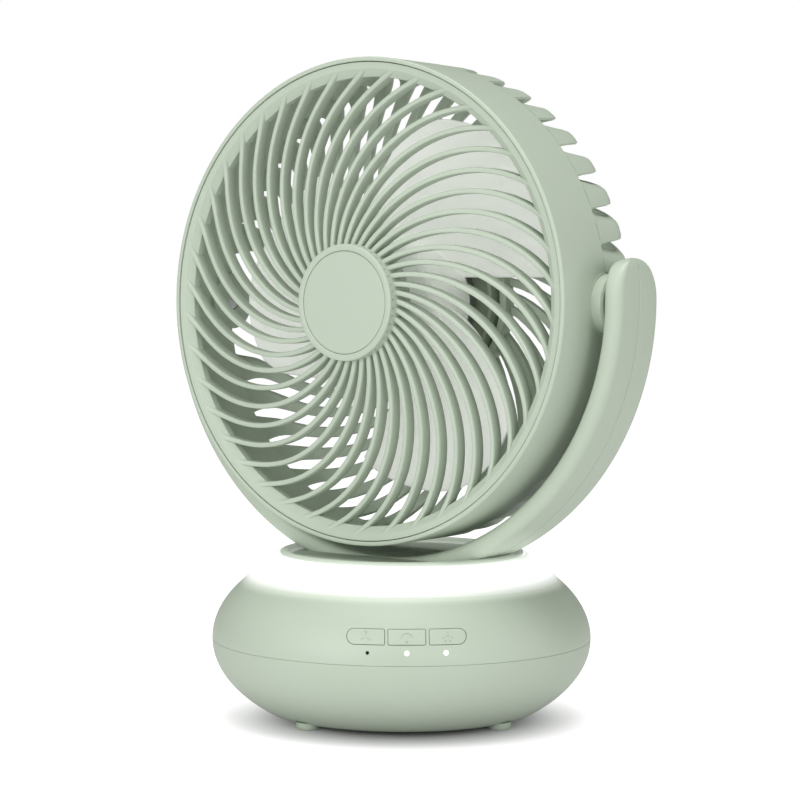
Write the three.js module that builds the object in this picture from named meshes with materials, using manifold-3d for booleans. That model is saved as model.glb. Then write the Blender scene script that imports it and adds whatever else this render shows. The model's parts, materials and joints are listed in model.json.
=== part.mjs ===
// Rechargeable desk fan with a night-light base, built from its separate sub-parts.
// Millimetres, +Z up. The origin is the centre of the base on the plane the feet stand on.
// The base's front faces -Y. The yoke and head are turned to one side of it.

import * as THREE from 'three';
import { mergeVertices } from 'three/addons/utils/BufferGeometryUtils.js';
import Module from 'manifold-3d';

const wasm = await Module();
wasm.setup();

const rad = THREE.MathUtils.degToRad;

// ---- Driving dimensions ----

const GAP = 0.3; // clearance between neighbouring parts
const BASE_SIDES = 32; // facets round the base parts
const HEAD_SIDES = 42; // facets round the head's rings, one to each grille bar

// Base: a squashed ball cut flat underneath
const BASE_RADIUS = 84;
const BASE_WAIST = 34; // height of the widest line, where the two shells meet
const BASE_DROP = 45.3; // vertical half axis below the waist
const BASE_RISE = 46.2; // vertical half axis above the waist
const BASE_BOTTOM = 2.3;
const SHELL_TOP = 59.9;
const SHELL_WALL = 2.4;
const FOOT_SPREAD = 41;
const SCREW_SPREAD = 30;
const PAN_FLOOR = 57; // underside of the pan that carries the turntable
const RIM_TOP = 73; // top of the rim round the turntable
const SPINDLE_RADIUS = 12;

// Buttons and indicators on the front of the base
const BUTTON_HEIGHT = 45.6;
const BUTTON_RADIUS = 3.1;
const BUTTON_ROW = 24.6; // half length of the row of buttons
const BUTTON_SPLIT = 8.4; // distance from the middle to the bar between two buttons
const BUTTON_BAR = 1; // width of that bar
const INDICATOR_HEIGHT = 39.2;
const INDICATOR_ANGLE = 11.2;

// Oscillation gears
const GEAR_TEETH = 24;
const PINION_TEETH = 8;
const GEAR_DISTANCE = 24;
const GEAR_BOTTOM = 50;
const GEAR_THICKNESS = 5.5;

// Yoke and head
const HEAD_TURN = -38.1; // turn of the yoke about +Z from straight ahead, degrees
const PIVOT_HEIGHT = 182.3;
const YOKE_RISE = 1.3; // height of the centre of the yoke's round band above the pivot
const TURNTABLE_TOP = 70.5;
const YOKE_OUTER = 121.4;
const YOKE_INNER = 113;
const YOKE_WIDTH = 32;
const YOKE_ROUND = 2.6;
const ARM_TIP = 1.6; // height of the centre of the arm's round end above the band's centre
const PIN_RADIUS = 4;
const HOUSING_RADIUS = 105.3;
const PAD_RADIUS = 13;

// Grilles: spiral bars, all of one hand. Face coordinates: +X right, +Y up, +Z forward.
const BARS = 42;
const FRONT_PHASE = 7.9; // angle of a front bar at the hub, degrees
const REAR_PHASE = 3.8;
const HUB_RADIUS = 25.1;
const MOTOR_RADIUS = 37;

// Impeller
const BLADES = 3;
const BLADE_ROOT = 24.8;
const IMPELLER_HUB = 26.5;

// ---- Finishes ----

const SAGE = { color: 0xc8d5c1, roughness: 0.5, metalness: 0 };
const DEEP_SAGE = { color: 0x9fae99, roughness: 0.55, metalness: 0 };
const LIGHT_GREY = { color: 0xd4d7d2, roughness: 0.45, metalness: 0 };
const FROSTED = { color: 0xf4f6ee, roughness: 0.6, metalness: 0 };
const DARK_PLASTIC = { color: 0x2b2e2a, roughness: 0.6, metalness: 0 };
const RUBBER = { color: 0x202220, roughness: 0.9, metalness: 0 };
const BOARD = { color: 0x2f6b45, roughness: 0.5, metalness: 0 };
const WRAP = { color: 0x3b6ea5, roughness: 0.4, metalness: 0 };
const STEEL = { color: 0x9a9c9e, roughness: 0.35, metalness: 1 };
const COPPER = { color: 0xb0683a, roughness: 0.4, metalness: 1 };
const WHITE_PLASTIC = { color: 0xecebe4, roughness: 0.5, metalness: 0 };

// ---- Shape helpers ----

// Makes a solid from a closed geometry, whichever way its faces point.
function solid(geometry) {
  const bare = geometry.clone();
  bare.deleteAttribute('normal');
  bare.deleteAttribute('uv');
  const merged = mergeVertices(bare, 1e-3);
  const corners = merged.index.array;
  const triangles = [];
  const flipped = [];
  for (let i = 0; i < corners.length; i += 3) {
    const [a, b, c] = [corners[i], corners[i + 1], corners[i + 2]];
    if (a === b || b === c || c === a) continue;
    triangles.push(a, b, c);
    flipped.push(a, c, b);
  }
  const make = (list) => new wasm.Manifold(new wasm.Mesh({
    numProp: 3,
    vertProperties: new Float32Array(merged.attributes.position.array),
    triVerts: new Uint32Array(list),
  }));
  const body = make(triangles);
  return body.volume() < 0 ? make(flipped) : body;
}

// Turns [radius, height] pairs about Z. A profile that starts off the axis closes on itself.
function turned(profile, sides = BASE_SIDES) {
  const loop = profile[0][0] > 0 ? [...profile, profile[0]] : profile;
  const points = loop.map(([r, z]) => new THREE.Vector2(r, z));
  return solid(new THREE.LatheGeometry(points, sides).rotateX(Math.PI / 2));
}

// Upright cylinder between two heights.
function post(radius, low, high, x = 0, y = 0, sides = 12) {
  const geometry = new THREE.CylinderGeometry(radius, radius, high - low, sides);
  return solid(geometry.rotateX(Math.PI / 2).translate(x, y, (low + high) / 2));
}

// Cylinder along X between two positions.
function axle(radius, from, to, sides = 16) {
  const geometry = new THREE.CylinderGeometry(radius, radius, Math.abs(to - from), sides);
  return solid(geometry.rotateZ(Math.PI / 2).translate((from + to) / 2, 0, 0));
}

// Cylinder along Y between two positions.
function rod(radius, from, to, x, z, sides = 12) {
  const geometry = new THREE.CylinderGeometry(radius, radius, to - from, sides);
  return solid(geometry.translate(x, (from + to) / 2, z));
}

// Box between two opposite corners.
function block([x0, y0, z0], [x1, y1, z1]) {
  const geometry = new THREE.BoxGeometry(x1 - x0, y1 - y0, z1 - z0);
  return solid(geometry.translate((x0 + x1) / 2, (y0 + y1) / 2, (z0 + z1) / 2));
}

// Flat shape pushed up from one height to another.
function plate(shape, low, high, curveSegments = 8) {
  const options = { depth: high - low, bevelEnabled: false, curveSegments };
  return solid(new THREE.ExtrudeGeometry(shape, options).translate(0, 0, low));
}

// Slot with round ends in the XZ plane, pushed along Y.
function pill(halfLength, radius, height, from, to) {
  const shape = new THREE.Shape();
  const centre = halfLength - radius;
  shape.absarc(centre, height, radius, -Math.PI / 2, Math.PI / 2, false);
  shape.absarc(-centre, height, radius, Math.PI / 2, 1.5 * Math.PI, false);
  const options = { depth: to - from, bevelEnabled: false, curveSegments: 6 };
  return solid(new THREE.ExtrudeGeometry(shape, options).rotateX(Math.PI / 2).translate(0, to, 0));
}

const joined = (bodies) => bodies.reduce((whole, body) => whole.add(body));
const cut = (body, tools) => tools.reduce((left, tool) => left.subtract(tool), body);

// The four corners of a square arrangement.
const corners = (spread) => [[-1, -1], [1, -1], [-1, 1], [1, 1]].map(([i, j]) => [i * spread, j * spread]);

// Reads a value from a list of [position, value] pairs by straight lines.
function along(table, position) {
  const last = table.length - 1;
  if (position <= table[0][0]) return table[0][1];
  if (position >= table[last][0]) return table[last][1];
  const next = table.findIndex(([p]) => p > position);
  const [p0, v0] = table[next - 1];
  const [p1, v1] = table[next];
  return v0 + (v1 - v0) * (position - p0) / (p1 - p0);
}

const model = new THREE.Group();
const yokeGroup = new THREE.Group();
yokeGroup.rotation.z = rad(HEAD_TURN);
const headGroup = new THREE.Group();
headGroup.position.z = PIVOT_HEIGHT;
headGroup.rotation.x = Math.PI / 2;
model.add(yokeGroup);
yokeGroup.add(headGroup);

// Adds a solid to a group as a named mesh with its own material.
function part(group, name, body, look) {
  const { vertProperties, triVerts } = body.getMesh();
  const geometry = new THREE.BufferGeometry();
  geometry.setAttribute('position', new THREE.BufferAttribute(vertProperties, 3));
  geometry.setIndex(new THREE.BufferAttribute(triVerts, 1));
  geometry.computeVertexNormals();
  const mesh = new THREE.Mesh(geometry, new THREE.MeshStandardMaterial(look));
  mesh.name = name;
  group.add(mesh);
}

// ---- Base shells ----

// Radius of the base's outer surface at a height.
function baseRadius(z) {
  const half = z < BASE_WAIST ? BASE_DROP : BASE_RISE;
  return BASE_RADIUS * Math.sqrt(1 - ((z - BASE_WAIST) / half) ** 2);
}

// [radius, height] pairs along the base's surface, moved in by an inset.
function baseCurve(low, high, steps, inset = 0) {
  return Array.from({ length: steps + 1 }, (_, i) => {
    const z = low + (high - low) * i / steps;
    return [baseRadius(z) - inset, z];
  });
}

const floorTop = BASE_BOTTOM + SHELL_WALL;
const insideBase = turned([
  [0, BASE_BOTTOM], ...baseCurve(BASE_BOTTOM, BASE_WAIST, 6, GAP / 2),
  ...baseCurve(BASE_WAIST + 1, SHELL_TOP, 5, GAP / 2), [0, SHELL_TOP],
]);

const lowerBowl = turned([
  [0, BASE_BOTTOM], ...baseCurve(BASE_BOTTOM, BASE_WAIST - GAP / 2, 5),
  ...baseCurve(floorTop, BASE_WAIST - GAP / 2, 3, SHELL_WALL).reverse(), [0, floorTop],
]);
const screwPosts = corners(SCREW_SPREAD).map(([x, y]) => post(4.6, floorTop - 1, 14.7, x, y));
const screwHoles = corners(SCREW_SPREAD).flatMap(([x, y]) => [
  post(1.8, 1, 16, x, y, 8),
  post(3.4, 1, floorTop - 0.4, x, y),
]);
const footRecesses = corners(FOOT_SPREAD).map(([x, y]) => post(5.3, 0, 3.4, x, y));
const socketWindow = block([-8.5, 60, 14.1], [8.5, 86, 23.9]);
part(model, 'base_lower_shell',
  cut(joined([lowerBowl, ...screwPosts]), [...screwHoles, ...footRecesses, socketWindow]), SAGE);

const upperRing = turned([
  ...baseCurve(BASE_WAIST + GAP / 2, SHELL_TOP, 5),
  ...baseCurve(BASE_WAIST + GAP / 2, SHELL_TOP, 3, SHELL_WALL).reverse(),
]);
const indicatorAngles = [-INDICATOR_ANGLE, 0, INDICATOR_ANGLE];
const indicatorRod = (angle, radius, from, to) => {
  const geometry = new THREE.CylinderGeometry(radius, radius, to - from, 12);
  geometry.translate(0, -(from + to) / 2, INDICATOR_HEIGHT);
  return solid(geometry.rotateZ(rad(angle)));
};
const buttonBars = [-BUTTON_SPLIT, BUTTON_SPLIT].map((x) =>
  block([x - BUTTON_BAR / 2, -95, 40], [x + BUTTON_BAR / 2, -60, 52]));
const buttonHoles = cut(pill(BUTTON_ROW + GAP, BUTTON_RADIUS + GAP, BUTTON_HEIGHT, -90, -60), buttonBars);
part(model, 'base_upper_shell', cut(upperRing, [
  buttonHoles,
  ...indicatorAngles.map((angle) => indicatorRod(angle, 1.55, 70, 90)),
]), SAGE);

corners(SCREW_SPREAD).forEach(([x, y], i) => {
  part(model, `base_screw_${i + 1}`,
    joined([post(3, 2.7, 4, x, y, 8), post(1.4, 3.5, 22, x, y, 6)]), STEEL);
});
['front_left', 'front_right', 'rear_left', 'rear_right'].forEach((place, i) => {
  const [x, y] = corners(FOOT_SPREAD)[i];
  part(model, `foot_${place}`, joined([post(5, 0.4, 3.1, x, y), post(4.6, 0, 1, x, y)]), RUBBER);
});

// ---- Top of the base: pan with its rim, lit ring and its board ----

const pan = turned([
  [SPINDLE_RADIUS + 0.6, PAN_FLOOR], [66.8, PAN_FLOOR], [66.8, PAN_FLOOR + 1.6],
  [52.4, PAN_FLOOR + 1.6], [52.4, 69.8], [54, 71.2], [53.3, RIM_TOP - 0.5], [52.1, RIM_TOP],
  [50.6, RIM_TOP - 0.7], [50.1, PAN_FLOOR + 2.4], [SPINDLE_RADIUS + 0.6, PAN_FLOOR + 2.4],
]);
const panLegs = corners(SCREW_SPREAD).map(([x, y]) => post(3.4, 15, PAN_FLOOR + 1, x, y, 8));
const legHoles = corners(SCREW_SPREAD).map(([x, y]) => post(1.7, 14, 24, x, y, 6));
part(model, 'top_bezel', cut(joined([pan, ...panLegs]), legHoles), SAGE);

part(model, 'light_diffuser', turned([
  [65, 59], [67.1, 59], [67.1, 60.3], [69.2, 60.3], [66.2, 63.9], [61.4, 68.2], [54.5, 72],
  [54.5, 69.8], [60.2, 66.4], [65, 61.6],
]), FROSTED);

const ledCount = 8;
const leds = Array.from({ length: ledCount }, (_, i) => {
  const geometry = new THREE.BoxGeometry(3, 3, 1.4).translate(59, 0, 60.6);
  return solid(geometry.rotateZ(2 * Math.PI * i / ledCount));
});
part(model, 'light_board',
  joined([turned([[53, 59], [64.4, 59], [64.4, 60.2], [53, 60.2]]), ...leds]), WHITE_PLASTIC);

// ---- Buttons, indicators and control board ----

const buttonBack = -73.5;
const buttonRow = pill(BUTTON_ROW, BUTTON_RADIUS, BUTTON_HEIGHT, -90, buttonBack)
  .intersect(turned([
    [0, 40], ...baseCurve(40, 52, 5, -0.4), [0, 52],
  ], 80));
const half = BUTTON_BAR / 2 + GAP;
const buttonSpans = {
  button_speed: [-30, -BUTTON_SPLIT - half],
  button_oscillation: [-BUTTON_SPLIT + half, BUTTON_SPLIT - half],
  button_light: [BUTTON_SPLIT + half, 30],
};
for (const [name, [from, to]] of Object.entries(buttonSpans)) {
  part(model, name, buttonRow.intersect(block([from, -95, 40], [to, -70, 52])), SAGE);
}
indicatorAngles.forEach((angle, i) => {
  part(model, `indicator_${i + 1}`, indicatorRod(angle, 1.25, 76, 83.5), i === 0 ? DARK_PLASTIC : FROSTED);
});

const boardFront = -68.8;
const switches = [-16.5, 0, 16.5].flatMap((x) => [
  block([x - 3, boardFront - 2.6, BUTTON_HEIGHT - 3], [x + 3, boardFront + 0.2, BUTTON_HEIGHT + 3]),
  rod(1.7, buttonBack + 1.3, boardFront - 2, x, BUTTON_HEIGHT, 10),
]);
part(model, 'control_board', joined([
  block([-26, boardFront, 35], [26, boardFront + 1.6, 51]),
  block([-12, boardFront, 50], [12, boardFront + 1.6, PAN_FLOOR - GAP]),
  ...switches,
]), BOARD);

// ---- Charging inlet at the back ----

const inletHeight = 19;
const inletBody = block([-8.2, 62, inletHeight - 4.6], [8.2, 84, inletHeight + 4.6]).intersect(insideBase);
const inletPocket = pill(6.3, 3.2, inletHeight, 69, 90);
const inletTongue = block([-3.2, 68.5, inletHeight - 0.35], [3.2, 74.5, inletHeight + 0.35]);
part(model, 'charge_socket', inletBody.subtract(inletPocket).add(inletTongue), DARK_PLASTIC);

// ---- Weight, cells and oscillation motor inside the base ----

const postHoles = corners(SCREW_SPREAD).map(([x, y]) => post(5.2, 4, 16, x, y));
part(model, 'ballast_plate', cut(turned([[0, 5], [54, 5], [54, 8.6], [0, 8.6]]), postHoles), STEEL);

const cellRadius = 9.2;
const cellHeight = 20.5;
const cellOffset = 49;
const cradles = [-cellOffset, cellOffset].flatMap((x) => [-24, 24].map((y) =>
  block([x - 10.5, y - 3, 10], [x + 10.5, y + 3, 18])));
const cellRoom = [-cellOffset, cellOffset].map((x) => rod(cellRadius + 0.5, -40, 40, x, cellHeight, 16));
part(model, 'battery_tray',
  cut(joined([block([-58, -29, 8.9], [58, 29, 10.7]), ...cradles]), [...cellRoom, ...postHoles]), DARK_PLASTIC);
[['battery_left', -cellOffset], ['battery_right', cellOffset]].forEach(([name, x]) => {
  part(model, name,
    joined([rod(cellRadius, -32, 32, x, cellHeight, 16), rod(3, -33.2, -31, x, cellHeight, 8)]), WRAP);
});

const ears = [-17.5, 17.5].flatMap((x) => [
  post(4, 42.5, 45, x, GEAR_DISTANCE, 10),
  post(2.6, 44, PAN_FLOOR - GAP, x, GEAR_DISTANCE, 8),
]);
part(model, 'oscillation_motor', joined([
  post(14, 27, 45, 0, GEAR_DISTANCE, 20),
  block([-17.5, GEAR_DISTANCE - 3.6, 42.5], [17.5, GEAR_DISTANCE + 3.6, 45]),
  ...ears,
]).subtract(post(2.8, 38, 48, 0, GEAR_DISTANCE)), STEEL);

// Spur gear outline with straight-sided teeth, the first tooth centred on the start angle.
function gearShape(teeth, tip, root, start) {
  const shape = new THREE.Shape();
  const pitch = 2 * Math.PI / teeth;
  const corner = [[root, -0.28], [tip, -0.11], [tip, 0.11], [root, 0.28]];
  for (let tooth = 0; tooth < teeth; tooth += 1) {
    for (const [r, offset] of corner) {
      const angle = rad(start) + (tooth + offset) * pitch;
      const [x, y] = [r * Math.cos(angle), r * Math.sin(angle)];
      if (shape.curves.length === 0 && shape.currentPoint.lengthSq() === 0) shape.moveTo(x, y);
      else shape.lineTo(x, y);
    }
  }
  return shape;
}

const pinionTeeth = plate(gearShape(PINION_TEETH, 7.1, 4.4, 0), GEAR_BOTTOM - 0.5, GEAR_BOTTOM + GEAR_THICKNESS);
const pinion = new THREE.Group();
pinion.position.y = GEAR_DISTANCE;
model.add(pinion);
part(pinion, 'drive_pinion', pinionTeeth.add(post(2.4, 38.5, GEAR_BOTTOM + 6)), WHITE_PLASTIC);

// ---- Turntable and yoke ----

// Everything above the yoke's underside, over the yoke's width.
function aboveYoke(clearance) {
  const geometry = new THREE.CylinderGeometry(
    YOKE_OUTER + clearance, YOKE_OUTER + clearance, YOKE_WIDTH + 2 * clearance, 120);
  return solid(geometry.translate(0, 0, PIVOT_HEIGHT + YOKE_RISE));
}
const turntableEdge = 49.5;
part(yokeGroup, 'turntable', turned([
  [0, 46], [SPINDLE_RADIUS, 46], [SPINDLE_RADIUS, 61.2], [25, 61.2], [25, 68], [46.8, 68],
  [46.8, 61.2], [turntableEdge, 61.2], [turntableEdge, TURNTABLE_TOP - 0.9],
  [turntableEdge - 0.9, TURNTABLE_TOP], [0, TURNTABLE_TOP],
]).subtract(aboveYoke(GAP)), SAGE);
part(yokeGroup, 'thrust_washer', turned([[12.4, 59.7], [24, 59.7], [24, 60.9], [12.4, 60.9]]), WHITE_PLASTIC);
const gearStart = 90 - HEAD_TURN - 180 / GEAR_TEETH;
part(yokeGroup, 'turntable_gear',
  plate(gearShape(GEAR_TEETH, 19.1, 16.4, gearStart), GEAR_BOTTOM, GEAR_BOTTOM + GEAR_THICKNESS)
    .subtract(post(SPINDLE_RADIUS + 0.5, 40, 60, 0, 0, 18)), WHITE_PLASTIC);

// The yoke is a round band open at the top, its arms ending in round tips.
const band = new THREE.Shape();
const bandEnd = rad(11);
band.absarc(0, 0, YOKE_OUTER, bandEnd, Math.PI - bandEnd, true);
band.absarc(0, 0, YOKE_INNER, Math.PI - bandEnd, bandEnd, false);
const bandGeometry = new THREE.ExtrudeGeometry(band, {
  depth: YOKE_WIDTH - 2 * YOKE_ROUND,
  bevelThickness: YOKE_ROUND,
  bevelSize: YOKE_ROUND,
  bevelOffset: -YOKE_ROUND,
  bevelSegments: 1,
  curveSegments: 24,
});
bandGeometry.translate(0, 0, YOKE_ROUND - YOKE_WIDTH / 2).rotateX(Math.PI / 2);

const tip = new THREE.Shape();
const halfWidth = YOKE_WIDTH / 2;
tip.moveTo(-halfWidth, -130);
tip.lineTo(halfWidth, -130);
tip.lineTo(halfWidth, ARM_TIP);
tip.absarc(0, ARM_TIP, halfWidth, 0, Math.PI, false);
const tipGeometry = new THREE.ExtrudeGeometry(tip, { depth: 260, bevelEnabled: false, curveSegments: 8 });
tipGeometry.translate(0, 0, -130).rotateX(Math.PI / 2).rotateZ(Math.PI / 2);

// Tube along the middle of the band from one angle to another, for the lead and its channel.
const leadRadius = (YOKE_OUTER + YOKE_INNER) / 2;
function bandTube(radius, fromAngle, toAngle) {
  const steps = 10;
  const points = Array.from({ length: steps + 1 }, (_, i) => {
    const angle = rad(fromAngle + (toAngle - fromAngle) * i / steps);
    return new THREE.Vector3(leadRadius * Math.cos(angle), 0, leadRadius * Math.sin(angle));
  });
  const section = new THREE.Shape().absarc(0, 0, radius, 0, 2 * Math.PI, false);
  const extrudePath = new THREE.CatmullRomCurve3(points);
  return solid(new THREE.ExtrudeGeometry(section, { steps, extrudePath, curveSegments: 3 }));
}

const yokeFrame = new THREE.Group();
yokeFrame.position.z = PIVOT_HEIGHT + YOKE_RISE;
yokeGroup.add(yokeFrame);
const pinHole = (from, to) => axle(PIN_RADIUS + GAP, from, to).translate([0, 0, -YOKE_RISE]);
const wholeYoke = cut(solid(bandGeometry).intersect(solid(tipGeometry)), [
  pinHole(YOKE_INNER - 3, 118.9),
  pinHole(-118.9, -YOKE_INNER + 3),
  bandTube(1.6, -85, -6),
]);
part(yokeFrame, 'yoke_front_half', wholeYoke.intersect(block([-130, -30, -130], [130, -GAP / 2, 40])), SAGE);
part(yokeFrame, 'yoke_rear_half', wholeYoke.intersect(block([-130, GAP / 2, -130], [130, 30, 40])), SAGE);
part(yokeFrame, 'motor_lead', bandTube(1.1, -84, -7), DARK_PLASTIC);

// Pins fixed in the arms, with washers between arm and head
const pivotFrame = new THREE.Group();
pivotFrame.position.z = PIVOT_HEIGHT;
yokeGroup.add(pivotFrame);
for (const [side, sign] of [['left', -1], ['right', 1]]) {
  part(pivotFrame, `pivot_pin_${side}`, axle(PIN_RADIUS, sign * 99, sign * 118.6), STEEL);
  part(pivotFrame, `friction_washer_${side}`,
    axle(9, sign * 110.9, sign * 112.4).subtract(axle(PIN_RADIUS + GAP, sign * 110, sign * 114)), DARK_PLASTIC);
  part(headGroup, `pivot_boss_${side}`,
    axle(12.4, sign * 105.7, sign * 110.5).subtract(axle(PIN_RADIUS + GAP, sign * 105, sign * 112)), SAGE);
}

// ---- Head: housing and grilles ----

const housingRing = turned([
  [100.2, 0], [HOUSING_RADIUS, 0], [HOUSING_RADIUS, 30.2], [104.2, 32.1], [103.4, 32.6],
  [103.4, 25.6], [100.2, 25.6],
], HEAD_SIDES);
part(headGroup, 'fan_housing', cut(joined([
  housingRing,
  axle(PAD_RADIUS, -HOUSING_RADIUS, -98.6),
  axle(PAD_RADIUS, 98.6, HOUSING_RADIUS),
]), [axle(PIN_RADIUS + GAP, -110, 110)]), SAGE);

// Angle lost by a bar between the hub and a radius, in degrees.
function frontSweep(radius) {
  const outward = radius - 28;
  return 0.714 * outward - 0.00412 * outward ** 2 + 0.0000469 * outward ** 3;
}
const rearSweep = (radius) => 0.618 * (radius - 28);

// One spiral bar. Each station is [radius, width round the circle, back depth, front depth].
function spiralBar(stations, phase, sweep) {
  const edge = (sign) => stations.map(([r, width]) => {
    const angle = rad(phase - sweep(r)) + sign * width / 2 / r;
    return new THREE.Vector2(r * Math.cos(angle), r * Math.sin(angle));
  });
  const shape = new THREE.Shape([...edge(-1), ...edge(1).reverse()]);
  const geometry = new THREE.ExtrudeGeometry(shape, { depth: 1, bevelEnabled: false });
  const backs = stations.map(([r, , back]) => [r, back]);
  const fronts = stations.map(([r, , , front]) => [r, front]);
  const points = geometry.attributes.position;
  for (let i = 0; i < points.count; i += 1) {
    const r = Math.hypot(points.getX(i), points.getY(i));
    points.setZ(i, along(points.getZ(i) > 0.5 ? fronts : backs, r));
  }
  return geometry;
}

// The whole round of bars.
function barRound(stations, phase, sweep) {
  return Array.from({ length: BARS }, (_, i) => solid(spiralBar(stations, phase + 360 * i / BARS, sweep)));
}

const frontRing = turned([[96.9, 25.9], [102.9, 25.9], [102.9, 31.8], [100, 31.8], [96.9, 30.3]], HEAD_SIDES);
const frontHub = turned([
  [0, 36.6], [23.4, 36.6], [23.4, 28], [HUB_RADIUS, 28], [HUB_RADIUS, 41.8], [24.3, 42.7],
  [22.8, 42.7], [22.8, 39.2], [0, 39.2],
], 21);
const frontBars = barRound([
  [24.1, 2.3, 33.6, 38.5], [42, 2.5, 32, 36.8], [62, 2.7, 29.3, 34.1], [82, 3.1, 26.4, 31.2],
  [98.5, 3.8, 26.1, 31],
], FRONT_PHASE, frontSweep);
part(headGroup, 'front_grille', joined([frontRing, frontHub, ...frontBars]), SAGE);
part(headGroup, 'front_hub_cap',
  turned([[0, 39.6], [22.3, 39.6], [22.3, 42.3], [21.6, 42.8], [0, 42.8]], 21), SAGE);

const rearRing = turned([[99.9, -5.5], [105, -5.5], [105, -0.4], [99.9, -0.4]], HEAD_SIDES);
const rearHub = turned([
  [0, -27.6], [39.4, -27.6], [41.4, -25.6], [41.4, -19], [38, -19], [38, -25], [0, -25],
], 21);
const rearBars = barRound([
  [40, 3.6, -26.5, -22.7], [68, 4.1, -26.9, -23.6], [90, 5.6, -26.8, -23], [97, 7.4, -25.4, -18],
  [101.6, 10, -19, -8], [104.3, 13, -5, -1],
], REAR_PHASE, rearSweep);
const rearScrewRadius = 28;
const rearScrewSpots = [90, 210, 330].map((angle) =>
  [rearScrewRadius * Math.cos(rad(angle)), rearScrewRadius * Math.sin(rad(angle))]);
part(headGroup, 'rear_grille', cut(joined([rearRing, rearHub, ...rearBars]), [
  axle(PAD_RADIUS + 0.4, 94, 108),
  axle(PAD_RADIUS + 0.4, -108, -94),
  ...rearScrewSpots.flatMap(([x, y]) => [post(1.7, -32, -22, x, y, 8), post(3.2, -32, -26.4, x, y)]),
]), SAGE);
rearScrewSpots.forEach(([x, y], i) => {
  part(headGroup, `rear_screw_${i + 1}`,
    joined([post(2.8, -27.7, -26.7, x, y, 8), post(1.3, -27, -22.9, x, y, 6)]), STEEL);
});

// ---- Motor ----

const motorCup = turned([
  [0, -24.6], [MOTOR_RADIUS, -24.6], [MOTOR_RADIUS, -15.6], [35.2, -15.6], [35.2, -22.6],
  [9.6, -22.6], [9.6, -9.2], [8, -9.2], [8, -22.6], [0, -22.6],
], 21);
part(headGroup, 'motor_cup',
  cut(motorCup, rearScrewSpots.map(([x, y]) => post(1.6, -26, -21, x, y, 8))), DEEP_SAGE);

// Stator: a star of nine windings round the bearing tube
part(headGroup, 'motor_stator',
  plate(gearShape(9, 19.8, 13, 0), -21, -12).subtract(post(9.9, -22, -11, 0, 0, 18)), COPPER);
[['bearing_rear', -22.3, -18.3], ['bearing_front', -13.4, -9.4]].forEach(([name, back, front]) => {
  part(headGroup, name, turned([[3.4, back], [7.6, back], [7.6, front], [3.4, front]], 14), STEEL);
});

part(headGroup, 'rotor_bell', turned([
  [3.3, -8.8], [21.3, -8.8], [21.3, -21.6], [23.7, -21.6], [23.7, -6.7], [3.3, -6.7],
], 24), STEEL);
part(headGroup, 'motor_shaft', post(3, -22.2, 19, 0, 0, 16), STEEL);
part(headGroup, 'impeller_nut', turned([
  [0, 22], [5.6, 21.4], [7.4, 19.4], [7.4, 14.4], [3.3, 14.4], [3.3, 19.4], [0, 19.4],
], 12), DARK_PLASTIC);

// ---- Impeller ----

// Trailing edge of a blade: [radius, angle] pairs. Its leading edge is straight.
const trailingEdge = [[24, 122], [50, 103], [62, 93], [72, 87], [80, 80], [87, 68]];
const leadingOffset = 11;
// Outline of the blade's outer end: [share of the chord, radius] pairs.
const outerEnd = [[0, 76], [0.15, 79], [0.4, 83], [0.65, 86], [0.8, 87], [0.92, 85], [1, 80]];

// A blade is a thin block bent onto a twisted sheet between its two edges.
function blade(turn) {
  const geometry = new THREE.BoxGeometry(1, 1, 1, 6, 4, 1);
  const points = geometry.attributes.position;
  for (let i = 0; i < points.count; i += 1) {
    const chord = points.getX(i) + 0.5;
    const span = points.getY(i) + 0.5;
    const radius = BLADE_ROOT + (along(outerEnd, chord) - BLADE_ROOT) * span;
    const lead = THREE.MathUtils.radToDeg(Math.asin(leadingOffset / radius));
    const angle = rad(lead + (along(trailingEdge, radius) - lead) * chord + turn);
    const rise = THREE.MathUtils.lerp(24, 14, span);
    const thickness = THREE.MathUtils.lerp(2.4, 1.6, span);
    points.setXYZ(i, radius * Math.cos(angle), radius * Math.sin(angle),
      rise * (chord - 0.5) - 1.5 + points.getZ(i) * thickness);
  }
  return solid(geometry);
}
const impellerHub = turned([
  [3.3, -6.4], [7, -6.4], [7, 11.8], [24.1, 11.8], [24.1, -14], [IMPELLER_HUB, -14],
  [IMPELLER_HUB, 12.5], [25, 14], [3.3, 14],
], 24);
const blades = Array.from({ length: BLADES }, (_, i) => blade(-360 * i / BLADES));
part(headGroup, 'impeller', joined([impellerHub, ...blades]), LIGHT_GREY);

export default model;
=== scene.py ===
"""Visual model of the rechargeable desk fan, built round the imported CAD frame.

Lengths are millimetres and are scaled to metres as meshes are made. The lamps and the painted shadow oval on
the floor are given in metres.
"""
import json
from math import asin, atan, cos, pi, radians, sin, sqrt, tan

import bmesh
import bpy
from mathutils import Matrix, Vector


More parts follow.
